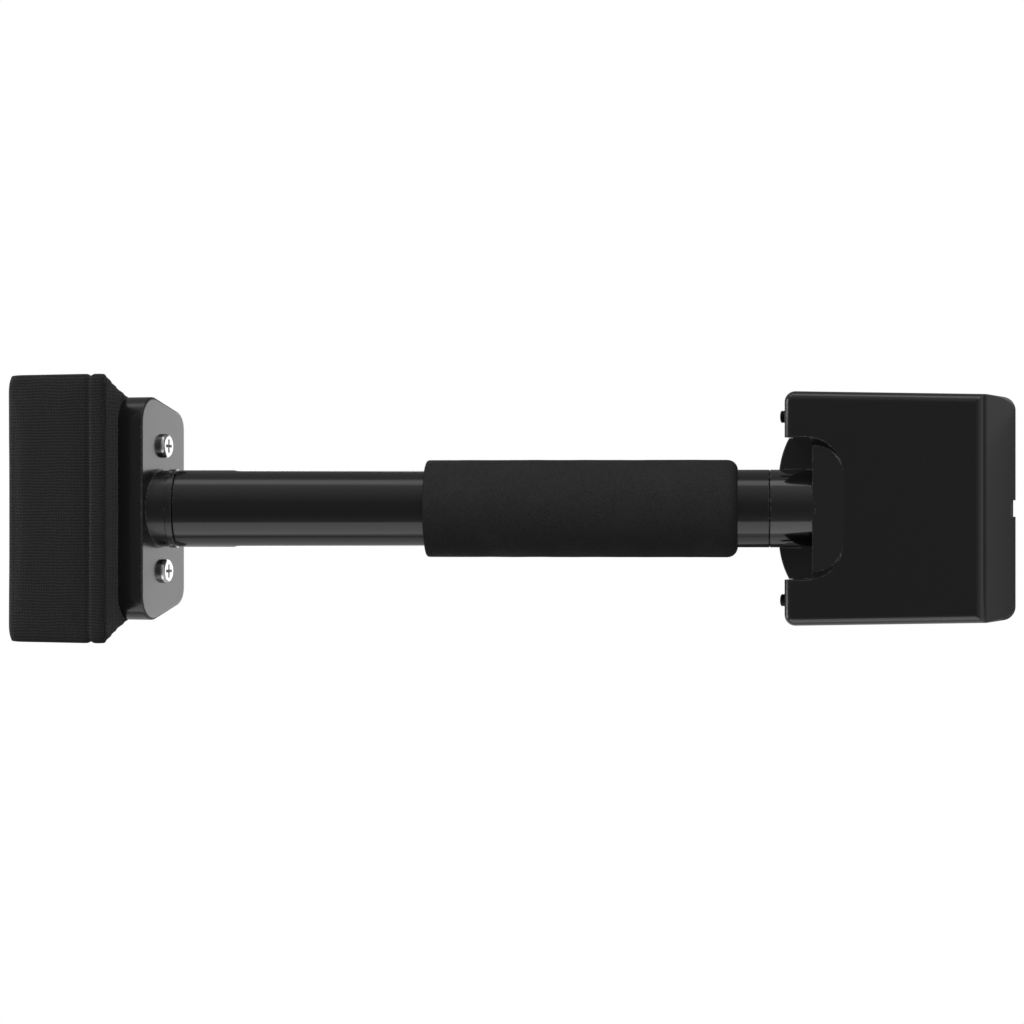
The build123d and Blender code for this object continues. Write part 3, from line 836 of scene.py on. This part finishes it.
@dataclass
class FoamGrip:
    """The foam sleeve on the handle."""

    sleeve: HandleSpan
    bore: float
    front_round: float = 4.5 * MM
    rear_round: float = 1.3 * MM
    sides: int = 128
    rings: int = 76
    unevenness: float = 0.22 * MM
    skin: FoamSkin = field(default_factory=FoamSkin)

    def outline(self) -> list[tuple[float, float]]:
        """Gives the sleeve's section as distances along the handle and radii.

        Returns:
            Points from the bore's front end, out, along the outside and back in at the rear.
        """
        length, radius = self.sleeve.length, self.sleeve.radius
        points = [(0.0, self.bore)]
        for step in range(7):
            turn = math.radians(90.0 * step / 6)
            cut, drop = 1 - math.cos(turn), 1 - math.sin(turn)
            points.append((self.front_round * cut, radius - self.front_round * drop))
        straight = length - self.front_round - self.rear_round
        for step in range(1, self.rings):
            points.append((self.front_round + straight * step / self.rings, radius))
        for step in range(4, -1, -1):
            turn = math.radians(90.0 * step / 4)
            cut, drop = 1 - math.cos(turn), 1 - math.sin(turn)
            points.append((length - self.rear_round * cut, radius - self.rear_round * drop))
        points.append((self.sleeve.length, self.bore))
        return points

    def build(self) -> bpy.types.Object:
        """Models the sleeve by extruding a ring along its outline, and dresses it.

        Returns:
            The finished grip.
        """
        outline = self.outline()
        turned = HANDLE_AXIS.to_track_quat("Z", "Y").to_euler()
        deselect_all()
        bpy.ops.mesh.primitive_circle_add(
            vertices=self.sides,
            radius=outline[0][1],
            location=self.sleeve.point(outline[0][0]),
            rotation=turned,
        )
        grip = settle(bpy.context.object, "grip_sleeve")
        activate(grip)
        bpy.ops.object.mode_set(mode="EDIT")
        bpy.ops.mesh.select_mode(type="EDGE")
        bpy.ops.mesh.select_all(action="SELECT")
        for (here, radius), (there, new_radius) in zip(outline, outline[1:] + outline[:1]):
            move = HANDLE_AXIS * (there - here)
            bpy.ops.mesh.extrude_edges_move(TRANSFORM_OT_translate={"value": move})
            grow = new_radius / radius
            bpy.ops.transform.resize(value=(grow, grow, grow), center_override=self.sleeve.point(there))
        bpy.ops.object.mode_set(mode="OBJECT")
        face_outwards(grip)
        self.roughen(grip)
        smooth(grip, 60.0)
        dress(grip, self.skin.build())
        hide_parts("foam_grip")
        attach(grip, "tool")
        return grip

    def roughen(self, grip: bpy.types.Object) -> None:
        """Gives the foam the slight unevenness of a moulded sleeve, applied to its mesh.

        Args:
            grip: The smooth sleeve.
        """
        waves = bpy.data.textures.new("foam_waves", "CLOUDS")
        waves.noise_scale = 0.014
        waves.noise_depth = 2
        apply_modifier(grip, "DISPLACE", texture=waves, strength=self.unevenness, mid_level=0.6,
                       texture_coords="LOCAL")


# ---------------------------------------------------------------- hard parts
@dataclass
class HardParts:
    """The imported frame's own metal and wooden parts, and the finish of each."""

    head_paint: Enamel = field(default_factory=lambda: Enamel("head_enamel", gloss=0.09, dull=0.17, coat=0.8))
    tube_paint: Enamel = field(
        default_factory=lambda: Enamel("tube_enamel", gloss=0.1, dull=0.16, peel=0.06, wear=0.25)
    )
    bracket_paint: Enamel = field(
        default_factory=lambda: Enamel("bracket_enamel", gloss=0.2, dull=0.3, peel=0.12, wear=0.35)
    )
    zinc: BareMetal = field(
        default_factory=lambda: BareMetal("zinc_plate", (0.62, 0.63, 0.65, 1.0), (0.48, 0.49, 0.5, 1.0))
    )
    bright_zinc: BareMetal = field(
        default_factory=lambda: BareMetal(
            "screw_zinc", (0.72, 0.72, 0.73, 1.0), (0.55, 0.55, 0.54, 1.0), 0.18, 0.15
        )
    )
    nap_steel: BareMetal = field(
        default_factory=lambda: BareMetal("nap_steel", (0.45, 0.45, 0.46, 1.0), (0.33, 0.32, 0.31, 1.0), 0.3)
    )
    pin_steel: BareMetal = field(
        default_factory=lambda: BareMetal(
            "pin_steel", (0.66, 0.66, 0.67, 1.0), (0.5, 0.5, 0.5, 1.0), 0.15, 0.12
        )
    )
    aluminium: BareMetal = field(
        default_factory=lambda: BareMetal(
            "block_aluminium", (0.77, 0.78, 0.79, 1.0), (0.65, 0.65, 0.66, 1.0), 0.28
        )
    )
    oxide: BareMetal = field(
        default_factory=lambda: BareMetal(
            "black_oxide", (0.022, 0.022, 0.024, 1.0), (0.04, 0.038, 0.036, 1.0), 0.32
        )
    )
    wood: Plywood = field(default_factory=Plywood)

    def finishes(self) -> dict[str, list[str]]:
        """Tells which nodes take which finish.

        Returns:
            Names of nodes by the name of this class's field.
        """
        return {
            "head_paint": ["head_casting"],
            "tube_paint": ["handle_tube"],
            "bracket_paint": ["pad_bracket"],
            "zinc": ["base_plate", "guide_posts", "pad_t_nuts", "cover_staples"],
            "bright_zinc": ["base_plate_screws", "pad_screws", "nap_grip_rivets"],
            "nap_steel": ["nap_grip_left", "nap_grip_right"],
            "pin_steel": ["carpet_pins"],
            "aluminium": ["pin_block"],
            "oxide": ["lock_screw_left", "lock_screw_right", "head_tube_screw", "bracket_tube_screw"],
            "wood": ["pad_board"],
        }

    def build(self) -> list[bpy.types.Object]:
        """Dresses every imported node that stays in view.

        Returns:
            The dressed nodes.
        """
        done = []
        for finish, names in self.finishes().items():
            material = getattr(self, finish).build()
            for name in names:
                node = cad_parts[name]
                for slot in node.material_slots:
                    slot.material = material
                done.append(node)
        return done


# ---------------------------------------------------------------- studio
@dataclass(frozen=True)
class Softbox:
    """A rectangular soft light that faces away from its back."""

    name: str
    centre: Vector
    back: Vector
    width: float
    height: float
    radiance: float
    matte: bool = False
    gloss: bool = True

    def hang(self) -> bpy.types.Object:
        """Makes the light.

        Returns:
            The light.
        """
        data = bpy.data.lights.new(self.name, "AREA")
        data.shape = "RECTANGLE"
        data.size = self.width
        data.size_y = self.height
        data.energy = self.radiance * math.pi * self.width * self.height
        light = bpy.data.objects.new(self.name, data)
        bpy.context.scene.collection.objects.link(light)
        light.location = self.centre
        light.rotation_euler = self.back.to_track_quat("Z", "Y").to_euler()
        light.visible_camera = False
        light.visible_diffuse = self.matte
        light.visible_glossy = self.gloss
        return light


@dataclass
class Studio:
    """Pale floor, soft lights and the camera."""

    seam: Vector
    distance: float = 1.36
    focus: float = 0.1113
    aside: float = -0.0015
    lens: float = 110.9
    floor_size: float = 12.0

    def build_floor(self, level: float) -> bpy.types.Object:
        """Lays the floor under the tool.

        Args:
            level: Height of the floor.

        Returns:
            The floor.
        """
        deselect_all()
        bpy.ops.mesh.primitive_plane_add(size=self.floor_size, location=(0.0, 0.0, level))
        floor = settle(bpy.context.object, "floor")
        material, bench, shader = start_material("floor_paper")
        shader.inputs["Base Color"].default_value = (0.2, 0.2, 0.2, 1.0)
        shader.inputs["Roughness"].default_value = 1.0
        shader.inputs["Specular IOR Level"].default_value = 0.0
        paper = bench.add("Emission")
        clear = bench.add("BsdfTransparent")
        seen, under = bench.add("MixShader"), bench.add("MixShader")
        bench.join(bench.add("LightPath").outputs["Is Camera Ray"], seen.inputs[0])
        bench.join(shader.outputs[0], seen.inputs[1])
        bench.join(paper.outputs[0], seen.inputs[2])
        bench.join(bench.add("NewGeometry").outputs["Backfacing"], under.inputs[0])
        bench.join(seen.outputs[0], under.inputs[1])
        bench.join(clear.outputs[0], under.inputs[2])
        output = next(node for node in bench.tree.nodes if node.type == "OUTPUT_MATERIAL")
        bench.join(under.outputs[0], output.inputs[0])
        dress(floor, material)
        floor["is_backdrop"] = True
        return floor

    def build_sky(self) -> None:
        """Makes a world that is dark overhead and brighter at the horizon, white to the camera."""
        world = bpy.data.worlds.new("studio_sky")
        bpy.context.scene.world = world
        world.use_nodes = True
        world.node_tree.nodes.clear()
        bench = Bench(world.node_tree)
        apart = bench.add("SeparateXYZ")
        bench.join(bench.add("TexCoord").outputs["Generated"], apart.inputs[0])
        ramp = bench.add("ValToRGB")
        stops = ((0.0, 0.5), (0.2, 0.6), (0.4, 0.45), (0.62, 0.33), (0.85, 0.2), (0.95, 0.12))
        while len(ramp.color_ramp.elements) < len(stops):
            ramp.color_ramp.elements.new(0.5)
        for element, (height, level) in zip(ramp.color_ramp.elements, stops):
            element.position = height
            element.color = (level, level, level, 1.0)
        bench.join(apart.outputs[2], ramp.inputs[0])
        rearward = bench.span(apart.outputs[0], -0.75, -0.2, 0.45, 1.0)
        shade = bench.math("MULTIPLY", ramp.outputs[0], rearward)
        plain = bench.mix(bench.add("LightPath").outputs["Is Camera Ray"], shade, (1.0, 1.0, 1.0, 1.0))
        background = bench.add("Background")
        bench.join(plain, background.inputs[0])
        output = bench.add("OutputWorld")
        bench.join(background.outputs[0], output.inputs[0])

    def softboxes(self) -> list[Softbox]:
        """Lists the soft lights: one long box each side, cards that edges mirror, and a rear strip.

        Returns:
            The lights, in the object's frame.
        """
        middle = self.seam + HANDLE_AXIS * self.focus
        under_bracket = Vector((self.seam.x - 0.215, 0.0, 0.002))
        fill = Vector((0.0, 1.25, 1.15))
        return [
            Softbox("right_box", middle + Vector((0, -1.2, 0.78)), -ACROSS, 2.6, 1.18, 0.8),
            Softbox("right_card", Vector((middle.x, -0.6, 0.002)), Vector((0, 0, -1)), 2.0, 1.1, 0.42),
            Softbox("left_box", middle + Vector((0, 1.3, 0.16)), ACROSS, 2.4, 0.42, 0.72, matte=True),
            Softbox("rear_strip", Vector((middle.x - 1.3, 0, 0.35)), Vector((-1, 0, 0)), 1.2, 0.5, 2.4),
            Softbox("bracket_card", under_bracket, Vector((0, 0, -1)), 0.1, 0.13, 1.7),
            Softbox("matte_fill", middle + fill, fill.normalized(), 2.2, 1.0, 4.6, matte=True, gloss=False),
        ]

    def build_lights(self) -> None:
        """Hangs every softbox."""
        for softbox in self.softboxes():
            softbox.hang()

    def build_camera(self) -> bpy.types.Object:
        """Sets the camera square over the handle.

        Returns:
            The camera.
        """
        towards = Vector((math.sin(HANDLE_RISE), 0.0, math.cos(HANDLE_RISE)))
        data = bpy.data.cameras.new("camera")
        data.lens = self.lens
        data.sensor_width = 36.0
        camera = bpy.data.objects.new("camera", data)
        bpy.context.scene.collection.objects.link(camera)
        camera.location = self.seam + towards * self.distance
        target = self.seam + HANDLE_AXIS * self.focus + ACROSS * self.aside
        look = (target - camera.location).normalized()
        right = look.cross(ACROSS).normalized()
        up = right.cross(look)
        camera.rotation_euler = Matrix((right, up, -look)).transposed().to_euler()
        bpy.context.scene.camera = camera
        return camera

    def build(self) -> None:
        """Builds the floor, world, lights and camera, and sets plain colours."""
        self.build_floor(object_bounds()[0].z)
        self.build_sky()
        self.build_lights()
        self.build_camera()
        bpy.context.scene.view_settings.view_transform = "Standard"
        bpy.context.scene.view_settings.look = "None"


def main() -> None:
    """Builds the shared effects, every piece and the studio."""
    logging.basicConfig(level=logging.INFO, format="%(name)s: %(message)s")
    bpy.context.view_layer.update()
    builders = (build_peel_group, build_edge_group, build_knit_group, build_pores_group, build_brush_group)
    for build_group in builders:
        build_group()
    for node in HardParts().build():
        report(node)
    tube = HandleSpan.of_node("handle_tube")
    report(KneePad(*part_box("pad_cover")).build())
    report(FoamGrip(HandleSpan.of_node("foam_grip"), tube.radius).build())
    Studio(tube.start).build()


if __name__ == "__main__":
    main()
